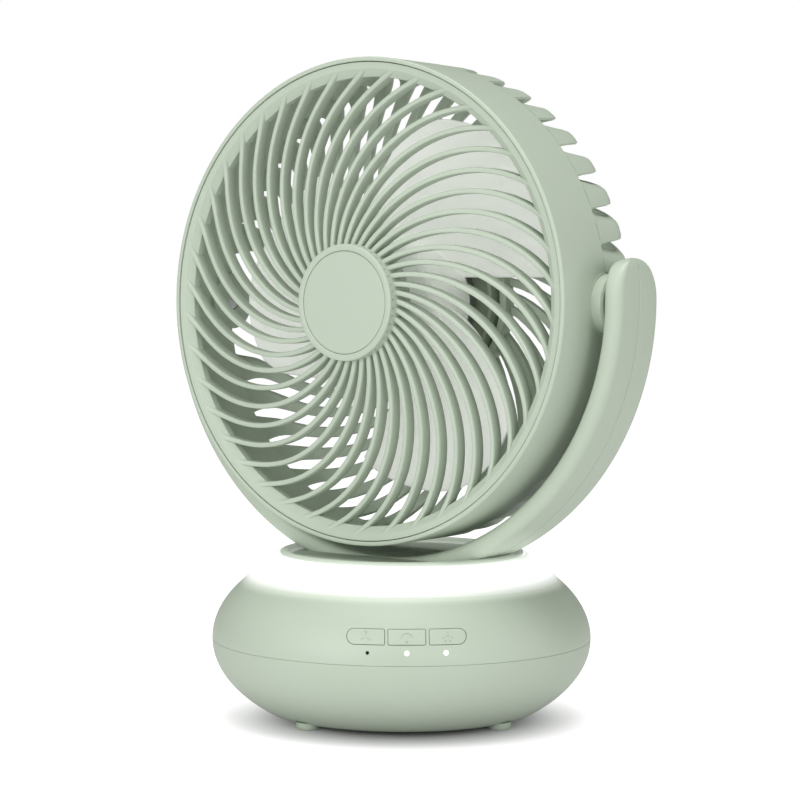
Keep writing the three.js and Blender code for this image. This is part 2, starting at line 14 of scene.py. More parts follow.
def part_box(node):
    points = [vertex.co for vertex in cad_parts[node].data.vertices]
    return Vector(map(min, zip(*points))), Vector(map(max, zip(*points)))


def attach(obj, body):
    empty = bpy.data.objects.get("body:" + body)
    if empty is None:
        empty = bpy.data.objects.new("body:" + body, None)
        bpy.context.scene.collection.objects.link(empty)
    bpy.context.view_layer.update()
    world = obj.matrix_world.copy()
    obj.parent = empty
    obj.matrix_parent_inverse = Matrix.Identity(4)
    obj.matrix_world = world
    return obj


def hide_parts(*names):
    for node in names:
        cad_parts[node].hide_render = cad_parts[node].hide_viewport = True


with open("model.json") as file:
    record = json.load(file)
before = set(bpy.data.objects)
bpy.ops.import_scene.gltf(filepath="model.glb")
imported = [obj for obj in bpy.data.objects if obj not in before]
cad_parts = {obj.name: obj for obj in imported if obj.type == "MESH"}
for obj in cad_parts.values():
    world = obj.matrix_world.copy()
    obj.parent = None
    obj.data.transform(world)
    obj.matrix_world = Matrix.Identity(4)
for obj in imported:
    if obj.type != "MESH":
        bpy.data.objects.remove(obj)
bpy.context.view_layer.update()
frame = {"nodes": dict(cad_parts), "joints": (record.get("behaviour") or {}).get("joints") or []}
MM = 0.001


def value_at(table, position):
    """Value at a position in a list of (position, value) pairs, by straight lines."""
    if position <= table[0][0]:
        return table[0][1]
    for (p0, v0), (p1, v1) in zip(table, table[1:]):
        if position <= p1:
            return v0 + (v1 - v0) * (position - p0) / (p1 - p0)
    return table[-1][1]


# ---- Places taken from the frame ----

def basis(x_axis, y_axis, z_axis, origin):
    """Matrix of a local frame with those axes."""
    matrix = Matrix((x_axis, y_axis, z_axis)).transposed().to_4x4()
    matrix.translation = origin
    return matrix


joints = {joint["name"]: joint for joint in frame["joints"]}
PIVOT = Vector(joints["head_tilt"]["pos_m"])
RIGHT = Vector(joints["head_tilt"]["axis"]).normalized()
FORWARD = Vector(joints["fan_spin"]["axis"]).normalized()
UP = Vector((0, 0, 1))
BASE = Matrix.Identity(4)
TABLE = basis(RIGHT, -FORWARD, UP, Vector((0, 0, 0)))
YOKE_RISE = 1.3  # the yoke's round is centred a little above the tilt axis
YOKE = basis(RIGHT, -FORWARD, UP, PIVOT + UP * YOKE_RISE * MM)  # +X right, +Y back, +Z up
HEAD = basis(RIGHT, UP, FORWARD, PIVOT)  # +X right, +Y up, +Z forward
TILT = basis(FORWARD, UP, -RIGHT, PIVOT)  # +Z along the tilt axis, to the left
SIDES = {"left": TILT, "right": TILT @ Matrix.Rotation(pi, 4, "Y")}

# ---- Camera ----

CAMERA_PLACE = Vector((-27.5, -1025.1, 190.2)) * MM
CAMERA_AIM = Vector((-1.05, 0, 138.98)) * MM
CAMERA_ROLL = radians(0.21)
camera_data = bpy.data.cameras.new("camera")
camera_data.sensor_width = 36
camera_data.lens = 104.25
camera = bpy.data.objects.new("camera", camera_data)
bpy.context.scene.collection.objects.link(camera)
look = (CAMERA_AIM - CAMERA_PLACE).normalized()
level = look.cross(UP).normalized()
upright = level.cross(look)
camera.matrix_world = basis(
    level * cos(CAMERA_ROLL) + upright * sin(CAMERA_ROLL),
    upright * cos(CAMERA_ROLL) - level * sin(CAMERA_ROLL),
    -look, CAMERA_PLACE)
bpy.context.scene.camera = camera

# ---- Main dimensions ----

BASE_RADIUS = (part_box("base_lower_shell")[1].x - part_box("base_lower_shell")[0].x) / 2 / MM
BASE_WAIST, BASE_DROP, BASE_RISE = 34, 45.3, 46.2
BASE_BOTTOM, SHELL_TOP, SHELL_WALL = 2.3, 59.9, 2.4
RIM_TOP, TABLE_TOP, TABLE_EDGE = 73, 70.5, 49.5
SHELL_SEAM, SEAM_HALF_GAP, SEAM_CHAMFER = 33.92, 0.04, 0.12
YOKE_OUTER, YOKE_INNER, YOKE_WIDTH, YOKE_ROUND = 121.4, 113, 32, 4.0
ARM_TIP = 1.6  # height over the yoke's centre where the arms start to round off
HOUSING, HOUSING_INNER = 105.3, 100.2
PAD, PIN_BORE = 13, 4.3
BARS, FRONT_PHASE, REAR_PHASE = 42, 7.9, 3.82
SWEEP_START = 28
HUB = 25.1


def front_sweep(radius):
    """Angle lost by a front bar between the hub and a radius, in radians."""
    outward = radius - SWEEP_START
    return radians(0.714 * outward - 0.00412 * outward ** 2 + 0.0000469 * outward ** 3)


def front_slope(radius):
    """Angle lost by a front bar in each millimetre at a radius, in radians."""
    outward = radius - SWEEP_START
    return radians(0.714 - 0.00824 * outward + 0.0001407 * outward ** 2)


def rear_sweep(radius):
    """Angle lost by a rear rib between the hub and a radius, in radians."""
    return radians(0.612 * (radius - SWEEP_START))


def base_radius(z):
    """Radius of the base's round at a height."""
    half = BASE_DROP if z < BASE_WAIST else BASE_RISE
    return BASE_RADIUS * sqrt(max(0, 1 - ((z - BASE_WAIST) / half) ** 2))


# ---- Materials ----

def plastic(name, colour, roughness, vary=0.03, grain=0.04, specks=900, coat=0.0):
    """Moulded plastic: fine surface texture, faint mottling and uneven gloss."""
    material = bpy.data.materials.new(name)
    material.use_nodes = True
    nodes, links = material.node_tree.nodes, material.node_tree.links
    shader = nodes["Principled BSDF"]
    shader.inputs["IOR"].default_value = 1.48
    shader.inputs["Coat Weight"].default_value = coat
    place = nodes.new("ShaderNodeTexCoord")

    mottle = nodes.new("ShaderNodeTexNoise")
    mottle.inputs["Scale"].default_value = 22
    mottle.inputs["Detail"].default_value = 5
    links.new(place.outputs["Object"], mottle.inputs["Vector"])
    tint = nodes.new("ShaderNodeMix")
    tint.data_type = "RGBA"
    tint.inputs[6].default_value = (*[c * (1 - vary) for c in colour], 1)
    tint.inputs[7].default_value = (*[min(1, c * (1 + vary)) for c in colour], 1)
    links.new(mottle.outputs["Fac"], tint.inputs[0])
    links.new(tint.outputs[2], shader.inputs["Base Color"])

    fine = nodes.new("ShaderNodeTexNoise")
    fine.inputs["Scale"].default_value = specks
    fine.inputs["Detail"].default_value = 3
    links.new(place.outputs["Object"], fine.inputs["Vector"])
    gloss = nodes.new("ShaderNodeMapRange")
    gloss.inputs["To Min"].default_value = roughness - 0.06
    gloss.inputs["To Max"].default_value = roughness + 0.06
    links.new(fine.outputs["Fac"], gloss.inputs["Value"])
    links.new(gloss.outputs["Result"], shader.inputs["Roughness"])
    bump = nodes.new("ShaderNodeBump")
    bump.inputs["Strength"].default_value = grain
    bump.inputs["Distance"].default_value = 0.0003
    links.new(fine.outputs["Fac"], bump.inputs["Height"])
    links.new(bump.outputs["Normal"], shader.inputs["Normal"])
    return material


def metal(name, colour, roughness, stretch=(1, 1, 12)):
    """Bare metal with fine drawn lines."""
    material = plastic(name, colour, roughness, 0.06, 0.06, 500)
    nodes, links = material.node_tree.nodes, material.node_tree.links
    nodes["Principled BSDF"].inputs["Metallic"].default_value = 1
    mapping = nodes.new("ShaderNodeMapping")
    mapping.inputs["Scale"].default_value = stretch
    place = next(n for n in nodes if n.type == "TEX_COORD")
    links.new(place.outputs["Object"], mapping.inputs["Vector"])
    for noise in [n for n in nodes if n.type == "TEX_NOISE"]:
        links.new(mapping.outputs["Vector"], noise.inputs["Vector"])
    return material


def glow(material, colour, bands):
    """Adds emission by height: the lamp's own light on the diffuser, painted glow on sage pieces. Bands are
    (height, strength) pairs in millimetres up the object.
    """
    nodes, links = material.node_tree.nodes, material.node_tree.links
    shader = nodes["Principled BSDF"]
    place = nodes.new("ShaderNodeTexCoord")
    parts = nodes.new("ShaderNodeSeparateXYZ")
    links.new(place.outputs["Object"], parts.inputs["Vector"])
    low, high = bands[0][0], bands[-1][0]
    span = nodes.new("ShaderNodeMapRange")
    span.inputs["From Min"].default_value = low * MM
    span.inputs["From Max"].default_value = high * MM
    links.new(parts.outputs["Z"], span.inputs["Value"])
    curve = nodes.new("ShaderNodeFloatCurve")
    points = curve.mapping.curves[0].points
    peak = max(strength for _, strength in bands)
    while len(points) < len(bands):
        points.new(0.5, 0.5)
    for point, (height, strength) in zip(points, bands):
        point.location = ((height - low) / (high - low), strength / peak)
    curve.mapping.update()
    links.new(span.outputs["Result"], curve.inputs["Value"])
    power = nodes.new("ShaderNodeMath")
    power.operation = "MULTIPLY"
    power.inputs[1].default_value = peak
    links.new(curve.outputs["Value"], power.inputs[0])
    shader.inputs["Emission Color"].default_value = (*colour, 1)
    links.new(power.outputs["Value"], shader.inputs["Emission Strength"])
    return material


def lit(material, colour, strength):
    """Gives the whole material an even emission: the lamp's own light on the light pipes, painted glow on the
    blades.
    """
    shader = material.node_tree.nodes["Principled BSDF"]
    shader.inputs["Emission Color"].default_value = (*colour, 1)
    shader.inputs["Emission Strength"].default_value = strength
    return material


SAGE_COLOUR = (0.47, 0.54, 0.44)
SAGE = plastic("sage plastic", SAGE_COLOUR, 0.46)
# Painted glow: the upper shell's sage plastic emits light near its top edge, rising from 57.2 mm to 60 mm,
# standing in for light from the ring falling on it.
SAGE_PAINTED_GLOW = glow(plastic("sage plastic with painted glow", SAGE_COLOUR, 0.46), (1, 1, 0.97),
                [(57.2, 0), (58.2, 0.06), (59, 0.15), (60, 0.25)])
# Painted glow: the sage rim emits light over its whole height, strongest at its foot, standing in for light
# from the ring falling on it.
RIM_PAINTED_GLOW = glow(plastic("sage rim with painted glow", SAGE_COLOUR, 0.46), (1, 1, 1),
               [(69, 0.3), (71, 0.22), (72, 0.15), (73, 0.1)])
ICON = plastic("icon paint", (0.36, 0.42, 0.33), 0.5)
DEEP_SAGE = plastic("deep sage plastic", (0.3, 0.36, 0.27), 0.5)
# Painted glow: the blades give an even light of their own, which lightens them as if more light reached them.
GREY_PAINTED_GLOW = lit(plastic("blade plastic with painted glow", (0.9, 0.92, 0.88), 0.34, 0.02, 0.02, 700), (1, 1, 0.97), 0.15)
FROSTED = glow(plastic("frosted diffuser", (0.5, 0.55, 0.48), 0.5, 0.01), (1, 1, 1),
               [(60, 0.25), (61, 0.38), (62.4, 0.6), (64, 0.8), (70, 0.8), (71.2, 0.65), (72, 0.5)])
LAMP = lit(plastic("lit light pipe", (0.95, 0.96, 0.93), 0.3, 0.01), (1, 1, 0.97), 1.1)
DARK = plastic("dark plastic", (0.018, 0.02, 0.017), 0.5, 0.1)
SAGE_RUBBER = plastic("sage rubber", (0.4, 0.47, 0.37), 0.8, 0.08, 0.1, 600)
WHITE = plastic("white moulding", (0.78, 0.77, 0.73), 0.5)
BOARD = plastic("solder mask", (0.02, 0.12, 0.05), 0.3, 0.2, 0.05, 300)
WRAP = plastic("cell wrap", (0.03, 0.12, 0.36), 0.25, 0.08, 0.02, 200, 0.3)
STEEL = metal("steel", (0.55, 0.56, 0.57), 0.32)
COPPER = metal("copper winding", (0.62, 0.27, 0.12), 0.35, (1, 30, 1))


# ---- Mesh helpers: a shell is (vertices in millimetres, faces) ----

def rounded(points, closed=True, steps=5):
    """Rounds each (x, y, radius) corner of an outline; a corner of two numbers stays sharp."""
    outline = []
    for i, point in enumerate(points):
        corner = Vector(point[:2])
        radius = point[2] if len(point) > 2 else 0
        if not radius or (not closed and i in (0, len(points) - 1)):
            outline.append(tuple(corner))
            continue
        before = Vector(points[i - 1][:2]) - corner
        after = Vector(points[(i + 1) % len(points)][:2]) - corner
        reach = min(radius / tan(before.angle(after) / 2), 0.48 * before.length, 0.48 * after.length)
        start, end = corner + before.normalized() * reach, corner + after.normalized() * reach
        for k in range(steps + 1):
            t = k / steps
            outline.append(tuple(start * (1 - t) ** 2 + corner * 2 * t * (1 - t) + end * t ** 2))
    return outline


def lathe(profile, sides=128):
    """Turns (radius, height) pairs about Z. A profile with its ends off the axis closes on itself."""
    vertices, rings = [], []
    for r, z in profile:
        if r < 1e-6:
            rings.append([len(vertices)] * sides)
            vertices.append((0, 0, z))
            continue
        rings.append(range(len(vertices), len(vertices) + sides))
        turns = [2 * pi * k / sides for k in range(sides)]
        vertices += [(r * cos(a), r * sin(a), z) for a in turns]
    pairs = list(zip(rings, rings[1:]))
    if profile[0][0] > 1e-6:
        pairs.append((rings[-1], rings[0]))
    faces = []
    for low, high in pairs:
        for k in range(sides):
            n = (k + 1) % sides
            face = list(dict.fromkeys((low[k], low[n], high[n], high[k])))
            if len(face) > 2:
                faces.append(face)
    return vertices, faces


def loft(loops, closed_path=False):
    """Joins equal loops of points into a tube, with a face at each open end."""
    size = len(loops[0])
    vertices = [point for loop in loops for point in loop]
    count = len(loops) if closed_path else len(loops) - 1
    faces = []
    for i in range(count):
        a, b = i * size, (i + 1) % len(loops) * size
        faces += [(a + k, a + (k + 1) % size, b + (k + 1) % size, b + k) for k in range(size)]
    if not closed_path:
        faces.append(tuple(range(size))[::-1])
        faces.append(tuple(range(len(vertices) - size, len(vertices))))
    return vertices, faces


def prism(outline, low, high):
    """Outline in XY pushed along Z."""
    return loft([[(x, y, z) for x, y in outline] for z in (low, high)])


def along_x(shell):
    """Turns an upright shell so that its height runs along +X."""
    vertices, faces = shell
    return [(z, x, y) for x, y, z in vertices], faces


def along_y(shell):
    """Turns a shell made upright so that its height runs along +Y and its outline lies in XZ."""
    vertices, faces = shell
    return [(x, z, y) for x, y, z in vertices], faces


def moved(shell, x=0, y=0, z=0, turn=0):
    """Turns a shell about Z by an angle in degrees, then shifts it."""
    matrix = Matrix.Translation((x, y, z)) @ Matrix.Rotation(radians(turn), 4, "Z")
    return [tuple(matrix @ Vector(v)) for v in shell[0]], shell[1]


def merged(*shells):
    """Puts shells together as one."""
    vertices, faces = [], []
    for more_vertices, more_faces in shells:
        start = len(vertices)
        vertices += more_vertices
        faces += [tuple(start + i for i in face) for face in more_faces]
    return vertices, faces


def slot_outline(half_length, radius, height=0, steps=14):
    """Slot with round ends."""
    outline = []
    for side in (1, -1):
        for k in range(steps + 1):
            a = pi * k / steps - side * pi / 2
            x = side * (half_length - radius) + radius * cos(a)
            outline.append((x, height + radius * sin(a)))
    return outline


def cylinder(radius, low, high, sides=64):
    """Plain round shell for cutting and joining."""
    return lathe([(0, low), (radius, low), (radius, high), (0, high)], sides)


def mesh_object(name, shell, where):
    """Makes an object in the frame's metres from a shell in a local frame."""
    mesh = bpy.data.meshes.new(name)
    mesh.from_pydata([where @ (Vector(v) * MM) for v in shell[0]], [], shell[1])
    work = bmesh.new()
    work.from_mesh(mesh)
    bmesh.ops.remove_doubles(work, verts=work.verts, dist=2e-6)
    bmesh.ops.recalc_face_normals(work, faces=work.faces)
    work.to_mesh(mesh)
    work.free()
    made = bpy.data.objects.new(name, mesh)
    bpy.context.scene.collection.objects.link(made)
    return made


def carve(target, tools, operation="DIFFERENCE"):
    """Cuts shells given as (shell, matrix) out of an object, or joins them on."""
    for shell, where in tools:
        tool = mesh_object("tool", shell, where)
        change = target.modifiers.new("change", "BOOLEAN")
        change.operation = operation
        change.solver = "EXACT"
        change.object = tool
        graph = bpy.context.evaluated_depsgraph_get()
        result = bpy.data.meshes.new_from_object(target.evaluated_get(graph))
        target.modifiers.clear()
        target.data = result
        bpy.data.objects.remove(tool)


def piece(name, shell, where, body, material, replaced=(), cut=(), join=(), crease=32):
    """Makes one finished piece and fixes it to its body."""
    made = mesh_object(name, shell, where)
    if join:
        carve(made, join, "UNION")
    if cut:
        carve(made, cut)
    made.data.name = name
    made.data.materials.clear()
    made.data.materials.append(material)
    for face in made.data.polygons:
        face.use_smooth = True
        face.material_index = 0
    made.data.set_sharp_from_angle(angle=radians(crease))
    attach(made, body)
    if replaced:
        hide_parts(*replaced)
    return made


# ---- Base shells ----

def base_curve(low, high, steps, inset=0):
    """Stretch of the base's round as (radius, height) pairs."""
    heights = [low + (high - low) * k / steps for k in range(steps + 1)]
    return [(base_radius(z) - inset, z) for z in heights]


FLOOR = BASE_BOTTOM + SHELL_WALL
INLET_HEIGHT = 19
FEET = [(x, y) for y in (-41, 41) for x in (-41, 41)]
BASE_SCREWS = [(x, y) for y in (-30, 30) for x in (-30, 30)]
underside = merged(
    *[moved(cylinder(5.35, 0, 3.4, 32), x, y) for x, y in FEET],
    *[moved(cylinder(3.4, 1, 4.3, 32), x, y) for x, y in BASE_SCREWS])
inlet_window = along_y(prism(slot_outline(8.5, 4.9, INLET_HEIGHT), 60, 90))
lower_top = SHELL_SEAM - SEAM_HALF_GAP
lower_profile = (
    [(0, BASE_BOTTOM)] + base_curve(BASE_BOTTOM, lower_top - SEAM_CHAMFER / 2, 30)
    + [(BASE_RADIUS - SEAM_CHAMFER, lower_top)]
    + base_curve(FLOOR, lower_top, 16, SHELL_WALL)[::-1] + [(0, FLOOR)])
piece("base_lower", lathe(lower_profile, 160), BASE, "base", SAGE, ["base_lower_shell"],
      cut=[(underside, BASE), (inlet_window, BASE)])

BUTTON_HEIGHT, BUTTON_ROW, BUTTON_RADIUS, BUTTON_GAP = 45.55, 24.6, 3.05, 0.17
KEY_CORNER = 0.6
KEY_SPANS = [  # left and right edge, left and right corner radius
    (-BUTTON_ROW, -9.1, BUTTON_RADIUS, KEY_CORNER),
    (-7.7, 7.8, KEY_CORNER, KEY_CORNER),
    (9.3, BUTTON_ROW, KEY_CORNER, BUTTON_RADIUS),
]
INDICATOR_HEIGHT = 39.2
INDICATORS = [(-11.2, 0.7), (0, 1.0), (11.2, 1.0)]  # angle round the base and radius


def at_indicator(shell, angle):
    """Lays a shell turned about Z through the base's front, at the indicators' height."""
    return moved(along_y(moved(shell, 0, INDICATOR_HEIGHT)), turn=angle)


indicator_holes = merged(*[at_indicator(cylinder(r + 0.1, -90, -70, 24), angle) for angle, r in INDICATORS])


def key_outline(left, right, left_radius, right_radius, grow=0.0):
    """Outline of a button from the front, with its own corner radius at each side."""
    x0, x1 = left - grow, right + grow
    z0, z1 = BUTTON_HEIGHT - BUTTON_RADIUS - grow, BUTTON_HEIGHT + BUTTON_RADIUS + grow
    outline = []
    for x, z, radius, start in ((x1, z1, right_radius, 0), (x0, z1, left_radius, 90),
                                (x0, z0, left_radius, 180), (x1, z0, right_radius, 270)):
        round_off = radius + grow
        cx, cz = x + (-round_off if x == x1 else round_off), z + (-round_off if z == z1 else round_off)
        steps = 12 if radius > 1 else 5
        for k in range(steps + 1):
            a = radians(start + 90 * k / steps)
            outline.append((cx + round_off * cos(a), cz + round_off * sin(a)))
    return outline


button_windows = merged(*[
    along_y(prism(key_outline(*span, grow=BUTTON_GAP), -90, -60)) for span in KEY_SPANS])
upper_bottom = SHELL_SEAM + SEAM_HALF_GAP
upper_profile = (
    [(BASE_RADIUS - SEAM_CHAMFER, upper_bottom)]
    + base_curve(upper_bottom + SEAM_CHAMFER / 2, SHELL_TOP, 28)
    + base_curve(upper_bottom, SHELL_TOP, 14, SHELL_WALL)[::-1])
piece("base_upper", lathe(upper_profile, 192), BASE, "base", SAGE_PAINTED_GLOW, ["base_upper_shell"],
      cut=[(button_windows, BASE), (indicator_holes, BASE)])

RING_FOOT = SHELL_TOP + 0.08
piece("light_ring", lathe(rounded([
    (65, 59), (67.1, 59), (67.1, RING_FOOT), (base_radius(RING_FOOT), RING_FOOT), (67.7, 62.2, 2),
    (65, 65, 3), (61.4, 67.9, 4), (57.8, 70.2, 4), (54.6, 71.9, 0.8), (54.6, 69.8), (60.2, 66.4),
    (65, 61.6)]), 160),
      BASE, "base", FROSTED, ["light_diffuser"])
piece("rim", lathe(rounded([
    (12.6, 57), (66.8, 57), (66.8, 58.6), (52.4, 58.6), (52.4, 69.8), (54.1, 71.2, 0.6), (53.9, 72.4, 0.8),
    (52.1, RIM_TOP, 1), (50.4, 72.5, 0.8), (50.1, 70), (50.1, 59.4), (12.6, 59.4)]), 160),
      BASE, "base", RIM_PAINTED_GLOW, ["top_bezel"])

for (x, y), place in zip(FEET, ("front_left", "front_right", "rear_left", "rear_right")):
    foot = lathe(rounded([(0, 0), (4.6, 0, 0.8), (5, 1.2, 0.6), (5, 3.1, 0.2), (0, 3.1)], closed=False), 48)
    piece(f"foot_pad_{place}", moved(foot, x, y), BASE, "base", SAGE_RUBBER, [f"foot_{place}"])


def screw(head_radius, shank_radius, head, length):
    """Round-headed screw with its head downward at height 0."""
    return lathe(rounded([
        (0, 0.15), (head_radius * 0.6, 0, 0.3), (head_radius, 0.5, 0.3), (head_radius, head),
        (shank_radius, head, 0.2), (shank_radius, length), (0, length + 1)], closed=False), 36)


def cross(size, depth):
    """Cross-shaped driver recess."""
    arm = size / 4
    outline = [(arm, arm), (arm, size), (-arm, size), (-arm, arm), (-size, arm), (-size, -arm),
               (-arm, -arm), (-arm, -size), (arm, -size), (arm, -arm), (size, -arm), (size, arm)]
    return prism(outline, -1, depth)


SCREW_SEAT = 2.7
for i, (x, y) in enumerate(BASE_SCREWS, 1):
    piece(f"screw_under_{i}", moved(screw(3, 1.4, 1.4, 19), x, y, SCREW_SEAT), BASE, "base", STEEL,
          [f"base_screw_{i}"], cut=[(moved(cross(1.7, 1.0), x, y, SCREW_SEAT), BASE)])

# ---- Buttons, icons and indicators ----

KEY_CROWN = 0.2  # how far a key cap stands out of the base


def surface_y(x, z, proud=0.0):
    """Place of the base's front surface, as a Y."""
    return -sqrt((base_radius(z) + proud) ** 2 - x * x)


def button(left, right, left_radius, right_radius):
    """Key cap that follows the base's round, with softly rounded edges."""
    def ring(grow, lift):
        outline = key_outline(left, right, left_radius, right_radius, grow)
        return [(x, surface_y(x, z, lift), z) for x, z in outline]

    back = [(x, -73.5, z) for x, _, z in ring(0, 0)]
    edge = [(0, -0.3), (-0.03, -0.05), (-0.12, 0.1), (-0.3, 0.17), (-0.55, KEY_CROWN)]
    loops = [back] + [ring(grow, lift) for grow, lift in edge]
    vertices, faces = loft(loops)
    faces.pop()
    middle = (left + right) / 2
    inner = loops[-1]
    size = len(inner)
    last = len(vertices) - size
    for share in (0.75, 0.5, 0.25):
        start = len(vertices)
        for x, _, z in inner:
            px, pz = middle + (x - middle) * share, BUTTON_HEIGHT + (z - BUTTON_HEIGHT) * share
            vertices.append((px, surface_y(px, pz, KEY_CROWN), pz))
        faces += [(last + k, last + (k + 1) % size, start + (k + 1) % size, start + k) for k in range(size)]
        last = start
    vertices.append((middle, surface_y(middle, BUTTON_HEIGHT, KEY_CROWN), BUTTON_HEIGHT))
    faces += [(last + k, last + (k + 1) % size, len(vertices) - 1) for k in range(size)]
    return vertices, faces


def stroke(points, width, x, rise=0.06):
    """Raised line on the key cap with its middle at x, through points given from that middle."""
    loops = []
    for i, (u, v) in enumerate(points):
        u0, v0 = points[max(0, i - 1)]
        u1, v1 = points[min(len(points) - 1, i + 1)]
        run = Vector((u1 - u0, v1 - v0)).normalized()
        normal = Vector((-run.y, run.x)) * width / 2
        ring = []
        for share, lift in ((-1, -0.2), (-0.8, rise), (0.8, rise), (1, -0.2)):
            px, pz = x + u + normal.x * share, BUTTON_HEIGHT + v + normal.y * share
            ring.append((px, surface_y(px, pz, KEY_CROWN + lift), pz))
        loops.append(ring)
    return loft(loops)


def arc(radius, start, end, steps=14, u=0, v=0):
    """Points of an arc about (u, v), between two angles in degrees."""
    turns = [radians(start + (end - start) * k / steps) for k in range(steps + 1)]
    return [(u + radius * cos(a), v + radius * sin(a)) for a in turns]


def dot(x, u, v, size):
    """Raised round spot on a key cap."""
    return stroke(arc(size / 2, 0, 340, 10, u, v), size * 0.9, x)


def fan_icon(x):
    """Three curved leaves round a hub."""
    leaves = []
    for turn in (90, 210, 330):
        a = radians(turn)
        u, v = 1.45 * cos(a), 1.45 * sin(a)
        leaves.append(stroke([(0.45 * cos(a), 0.45 * sin(a)), (u, v)], 0.3, x))
        leaves.append(stroke(arc(0.42, turn - 150, turn + 90, 10, u * 1.2, v * 1.2), 0.28, x))
    return merged(*leaves)


def turn_icon(x):
    """Arc of the swing, over its centre."""
    return merged(stroke(arc(2.5, 12, 168, 20, 0, -0.9), 0.34, x), dot(x, 0, -1.75, 0.5))


def lamp_icon(x):
    """Small lamp over a fan of light dots."""
    spots = [(r * cos(radians(t)), 1.1 + r * sin(radians(t))) for r, t in
             ((2.4, 218), (2.9, 250), (2.9, 290), (2.4, 322))]
    return merged(stroke([(0, 1.9), (0, 1.1)], 0.3, x),
                  stroke(arc(0.75, 190, 350, 10, 0, 0.8), 0.3, x),
                  *[dot(x, u, v, 0.42) for u, v in spots])


KEYS = [("button_speed", "speed_button", fan_icon), ("button_oscillation", "oscillation_button", turn_icon),
        ("button_light", "light_button", lamp_icon)]
for (node, body, icon), span in zip(KEYS, KEY_SPANS):
    piece(f"key_{node}", button(*span), BASE, body, SAGE, [node], crease=40)
    piece(f"icon_{node}", icon((span[0] + span[1]) / 2), BASE, body, ICON)


def light_pipe(radius, tip, shoulder):
    """Light pipe from a tip outline, with its shoulder that far inside the base's surface."""
    outside = -base_radius(INDICATOR_HEIGHT)
    profile = [(r, outside + inward, *corner) for r, inward, *corner in tip]
    profile += [(radius, outside + shoulder, 0.2), (radius, -76), (0, -76)]
    return lathe(rounded(profile, closed=False), 32)


SUNK_TIP, DOMED_TIP = [(0, 1.6)], [(0, -0.25), (0.7, -0.15, 0.3)]
PIPES = [(SUNK_TIP, 1.6, DARK, "dark_plastic"), (DOMED_TIP, 0.2, LAMP, "frosted_plastic"),
         (DOMED_TIP, 0.2, LAMP, "frosted_plastic")]
for i, ((angle, radius), (tip, shoulder, material, slot)) in enumerate(zip(INDICATORS, PIPES), 1):
    piece(f"light_pipe_{i}", at_indicator(light_pipe(radius, tip, shoulder), angle), BASE, "base",
          material, [f"indicator_{i}"])

# ---- Charging inlet ----

def inlet():
    """Socket housing, open to the back, with a metal shell and a tongue inside."""
    outer, pocket = slot_outline(8.2, 4.6, INLET_HEIGHT), slot_outline(6.2, 3.2, INLET_HEIGHT)
    outside, inside = [[(x, -surface_y(x, z, -0.5), z) for x, z in outline] for outline in (outer, pocket)]
    back = [(x, 62, z) for x, z in outer]
    floor = [(x, 71, z) for x, z in pocket]
    return loft([back, outside, inside, floor])


piece("inlet", inlet(), BASE, "base", DARK, ["charge_socket"])
shell_outer, shell_inner = slot_outline(4.47, 1.6, INLET_HEIGHT), slot_outline(4.1, 1.25, INLET_HEIGHT)
shell_loops = [[(x, y, z) for x, z in outline] for outline, y in
               ((shell_outer, 70.5), (shell_outer, 75.6), (shell_inner, 75.6), (shell_inner, 70.5))]
piece("inlet_shell", loft(shell_loops, closed_path=True), BASE, "base", STEEL)
TONGUE, TONGUE_HALF = 3.2, 0.35
tongue_outline = rounded([(x, INLET_HEIGHT + z, 0.3) for x, z in (
    (-TONGUE, -TONGUE_HALF), (TONGUE, -TONGUE_HALF), (TONGUE, TONGUE_HALF), (-TONGUE, TONGUE_HALF))])
piece("inlet_tongue", along_y(prism(tongue_outline, 70.5, 75)), BASE, "base", DARK)

# ---- Turntable and yoke ----

YOKE_GAP = 0.3
slot_circle = [((YOKE_OUTER + YOKE_GAP) * cos(radians(a)), (YOKE_OUTER + YOKE_GAP) * sin(radians(a)))
               for a in range(360)]
yoke_slot = along_y(prism(slot_circle, -YOKE_WIDTH / 2 - YOKE_GAP, YOKE_WIDTH / 2 + YOKE_GAP))
piece("turntable_disc", lathe(rounded([
    (0, 46), (12, 46), (12, 61.2), (25, 61.2), (25, 68), (46.8, 68), (46.8, 61.2), (TABLE_EDGE, 61.2),
    (TABLE_EDGE, TABLE_TOP, 1.2), (0, TABLE_TOP)], closed=False), 144),
      TABLE, "yoke", SAGE, ["turntable"], cut=[(yoke_slot, YOKE)])


def yoke_half(side):
    """Half of the yoke's band, from the parting line to one edge. side is -1 for the front."""
    middle, half = (YOKE_OUTER + YOKE_INNER) / 2, (YOKE_OUTER - YOKE_INNER) / 2
    width, seam = YOKE_WIDTH / 2, 0.16
    section = rounded([
        (-half, seam), (half - 0.4, seam), (half, seam + 0.45), (half, width, YOKE_ROUND + 0.6),
        (-half, width, YOKE_ROUND + 0.6)], steps=7)
    heights = [ARM_TIP + width * sin(radians(b)) for b in (88.5, 85, 80, 74, 67, 59, 50, 40, 30, 20, 10, 0)]
    angles = [asin(h / middle) for h in heights]
    steps = 96
    inner = [angles[-1] + (-pi - 2 * angles[-1]) * k / steps for k in range(1, steps)]
    loops = []
    for angle in angles + inner + [-pi - a for a in reversed(angles)]:
        height = middle * sin(angle)
        above = max(0, height - ARM_TIP)
        narrow = sqrt(max(0, 1 - (above / width) ** 2))
        near = min(1, (width - above) / YOKE_ROUND) if above else 1
        thin = 1 - 0.7 * (1 - sqrt(1 - (1 - near) ** 2))
        loop = []
        for r, y in section:
            radius = middle + r * thin
            loop.append((radius * cos(angle), side * (seam + (y - seam) * narrow), radius * sin(angle)))
        loops.append(loop)
    return loft(loops)


bores = merged(*[
    moved(along_x(cylinder(PIN_BORE, low, high, 32)), z=-YOKE_RISE)
    for low, high in ((110, 118.9), (-118.9, -110))])
for name, side in (("front", -1), ("rear", 1)):
    piece(f"yoke_{name}", yoke_half(side), YOKE, "yoke", SAGE, [f"yoke_{name}_half"],
          cut=[(bores, YOKE)], crease=38)

